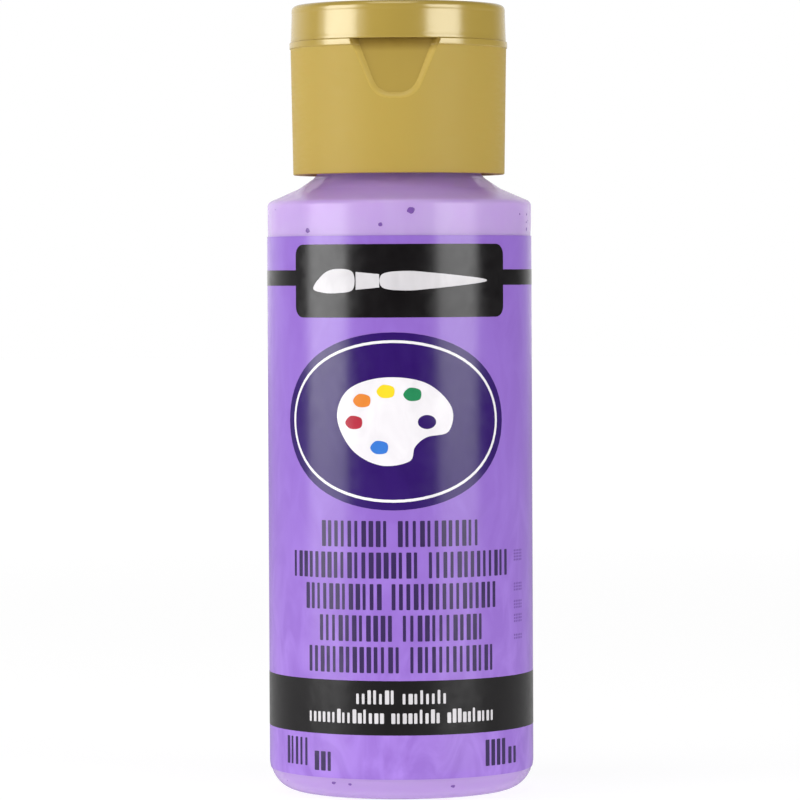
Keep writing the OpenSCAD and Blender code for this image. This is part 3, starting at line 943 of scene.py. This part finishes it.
def ribbon(name, middle, half_w, half_len, depth, thick, rows=40):
    """An upright strip at the hinge. depth(t) and thick(t) give its y and thickness, t from -1 to 1."""
    around = [(math.cos(a), math.sin(a)) for a in (2 * math.pi * k / 24 for k in range(24))]
    points, faces = [], []
    for i in range(rows + 1):
        t = 2 * i / rows - 1
        end = 1 - 0.35 * ease((abs(t) - 0.9) / 0.1)
        for c, s in around:
            x = math.copysign(abs(c) ** 0.35, c) * half_w
            y = math.copysign(abs(s) ** 0.6, s) * thick(t) / 2 * end
            points.append(((middle + x) * MM, (depth(t) + y) * MM, (PIVOT.z + t * half_len) * MM))
    n = len(around)
    for i in range(rows):
        for k in range(n):
            a, b = i * n + k, i * n + (k + 1) % n
            faces.append((a, b, b + n, a + n))
    faces += [tuple(range(n)), tuple(range(rows * n, rows * n + n))]
    mesh = bpy.data.meshes.new(name)
    mesh.from_pydata(points, [], faces)
    return add_piece(name, mesh, HINGE, 50)


def make_hinge():
    """Two film webs that thin out at the pivot, and the snap strap bulging between them."""
    web_rest_y = FLAT_Y + 0.18

    def web_y(t):
        return web_rest_y + (PIVOT.y - web_rest_y) * ease(1.6 - abs(t) * 2.6)

    def web_t(t):
        return 0.35 - 0.17 * ease(1.4 - abs(t) * 2.6)

    def strap_y(t):
        return FLAT_Y + 0.225 + 0.35 * ease(2.6 - abs(t) * 2.9)

    for name, x in (("hinge_film_left", -3.4), ("hinge_film_right", 3.4)):
        film = ribbon(name + "_web", x, 1.2, 1.15, web_y, web_t)
        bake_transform(film)
        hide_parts(name)
    strap = ribbon("snap_strap_band", 0, 1.5, 3.1, strap_y, lambda t: 0.42)
    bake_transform(strap)
    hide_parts("snap_strap")


# ---------------------------------------------------------------- studio, in metres and degrees
BOTTLE_MIDDLE = 0.05
LIGHT_DISTANCE = 0.8
SWEEP_TURN = 12


def placed(turn, distance, height):
    """A point in metres, from degrees to the right of the camera's side, a distance and a height."""
    a = math.radians(turn)
    return (TOWARDS * math.cos(a) + ACROSS * math.sin(a)) * distance + UP * height


def softbox(name, turn, distance, height, width, tall, glow):
    """A rectangular light aimed at the bottle. glow is the brightness of its face."""
    data = bpy.data.lights.new(name, "AREA")
    data.shape, data.size, data.size_y = "RECTANGLE", width, tall
    data.energy = glow * math.pi * width * tall
    lamp = bpy.data.objects.new(name, data)
    lamp.location = placed(turn, distance, height)
    beside = distance > 0.5
    aim = Vector((0, 0, height if beside else BOTTLE_MIDDLE)) - lamp.location
    lamp.rotation_euler = aim.to_track_quat("-Z", "Y").to_euler()
    lamp.visible_camera = False
    bpy.context.scene.collection.objects.link(lamp)


def light_from(name, turn, height, span, tall, glow):
    """A softbox beside the bottle that spans an angle in degrees."""
    width = 2 * LIGHT_DISTANCE * math.tan(math.radians(span / 2))
    softbox(name, turn, LIGHT_DISTANCE, height, width, tall, glow)


def forwards(tree, vector):
    """How far a vector reaches over the floor, away from the sweep."""
    node = tree.nodes.new("ShaderNodeVectorMath")
    node.operation = "DOT_PRODUCT"
    node.inputs[1].default_value = placed(SWEEP_TURN, 1, 0)
    tree.links.new(vector, node.inputs[0])
    return node.outputs["Value"]


def ranged(tree, value, low, high, to_low, to_high):
    """A smooth change between two values."""
    node = tree.nodes.new("ShaderNodeMapRange")
    node.interpolation_type = "SMOOTHSTEP"
    settings = zip(("From Min", "From Max", "To Min", "To Max"), (low, high, to_low, to_high))
    for key, number in settings:
        node.inputs[key].default_value = number
    tree.links.new(value, node.inputs["Value"])
    return node.outputs[0]


def seen_or_lit(tree, seen, lit):
    """One brightness where the studio itself is seen, and another for the light it gives."""
    node = tree.nodes.new("ShaderNodeMix")
    camera_ray = tree.nodes.new("ShaderNodeLightPath").outputs["Is Camera Ray"]
    tree.links.new(camera_ray, node.inputs["Factor"])
    tree.links.new(lit, node.inputs["A"])
    if isinstance(seen, float):
        node.inputs["B"].default_value = seen
    else:
        tree.links.new(seen, node.inputs["B"])
    return node.outputs[0]


def make_studio():
    """Softboxes beside and above the bottle, a sky, a floor and the camera."""
    make_lights()
    make_sky()
    make_floor()
    make_camera()


def make_lights():
    """Their tall faces stand in the bottle's gloss as the two upright highlights."""
    light_from("softbox_left", -65.4, 0.19, 38.4, 0.5, 5.0)
    light_from("softbox_left_spill", -65, 0.275, 60, 0.33, 0.9)
    light_from("softbox_right_low", 52, 0.02, 36.5, 0.14, 3.9)
    light_from("softbox_right_high", 50, 0.265, 39, 0.35, 5.2)
    softbox("softbox_top", -10, 0.35, 0.75, 0.5, 0.5, 2.0)


def make_sky():
    """A white sweep behind the bottle and a dark room in front. The picture itself shows plain white."""
    world = bpy.data.worlds.new("sweep")
    bpy.context.scene.world = world
    world.use_nodes = True
    tree = world.node_tree
    tree.nodes.clear()
    front = forwards(tree, tree.nodes.new("ShaderNodeTexCoord").outputs["Generated"])
    sky = tree.nodes.new("ShaderNodeBackground")
    strength = seen_or_lit(tree, 1.0, ranged(tree, front, -1.0, -0.3, 1.0, 0.06))
    tree.links.new(strength, sky.inputs["Strength"])
    sky.inputs["Color"].default_value = (1, 1, 1, 1)
    tree.links.new(sky.outputs[0], tree.nodes.new("ShaderNodeOutputWorld").inputs["Surface"])


def make_floor():
    """A pale floor that glows as the sweep does, but less so in the bottle's gloss."""
    radius, below = 3, 0.0001
    bpy.ops.mesh.primitive_circle_add(
        vertices=128, radius=radius, fill_type="NGON", location=(0, 0, -below),
    )
    floor = bpy.context.object
    floor.name = "studio_floor"
    grey = (0.2, 0.2, 0.2, 1)
    f = Finish("studio_white", Base_Color=grey, Roughness=0.8, Emission_Color=(1, 1, 1, 1))
    away = f.add("ShaderNodeVectorMath", {0: f.place}, operation="LENGTH").outputs["Value"]
    seen = ranged(f.tree, away, 0.2, 1.0, 0.84, 0.95)
    lit = ranged(f.tree, forwards(f.tree, f.place), 0.07, 0.32, 0.98, 0.05)
    mirrored = f.add("ShaderNodeLightPath").outputs["Is Glossy Ray"]
    lit = f.times(lit, f.spread(mirrored, 0, 1, 1, 0.27))
    f.feed("Emission Strength", seen_or_lit(f.tree, seen, lit))
    floor.data.materials.append(f.material)
    floor.visible_shadow = False


def make_camera():
    """A long lens a little above the bottle's middle, with a trace of roll."""
    lens_mm, distance, height, aim_height, roll_degrees = 198, 0.58, 0.06765, 0.05115, -0.27
    data = bpy.data.cameras.new("camera")
    data.lens, data.sensor_width = lens_mm, 36
    camera = bpy.data.objects.new("camera", data)
    camera.location = placed(0, distance, height)
    facing = (Vector((0, 0, aim_height)) - camera.location).to_track_quat("-Z", "Y")
    roll = Euler((0, 0, math.radians(roll_degrees))).to_quaternion()
    camera.rotation_euler = (facing @ roll).to_euler()
    bpy.context.scene.collection.objects.link(camera)
    bpy.context.scene.camera = camera
    bpy.context.scene.view_settings.view_transform = "Standard"


make_studio()
make_bottle()
make_specks()
make_paint()
make_paint_film()
make_label()
make_front_print()
make_emblem()
make_brush()
make_back_print()
make_dots()
make_cap()
make_lid()
make_hinge()
frame["nodes"]["liner"].data.materials.clear()
frame["nodes"]["liner"].data.materials.append(LINER)
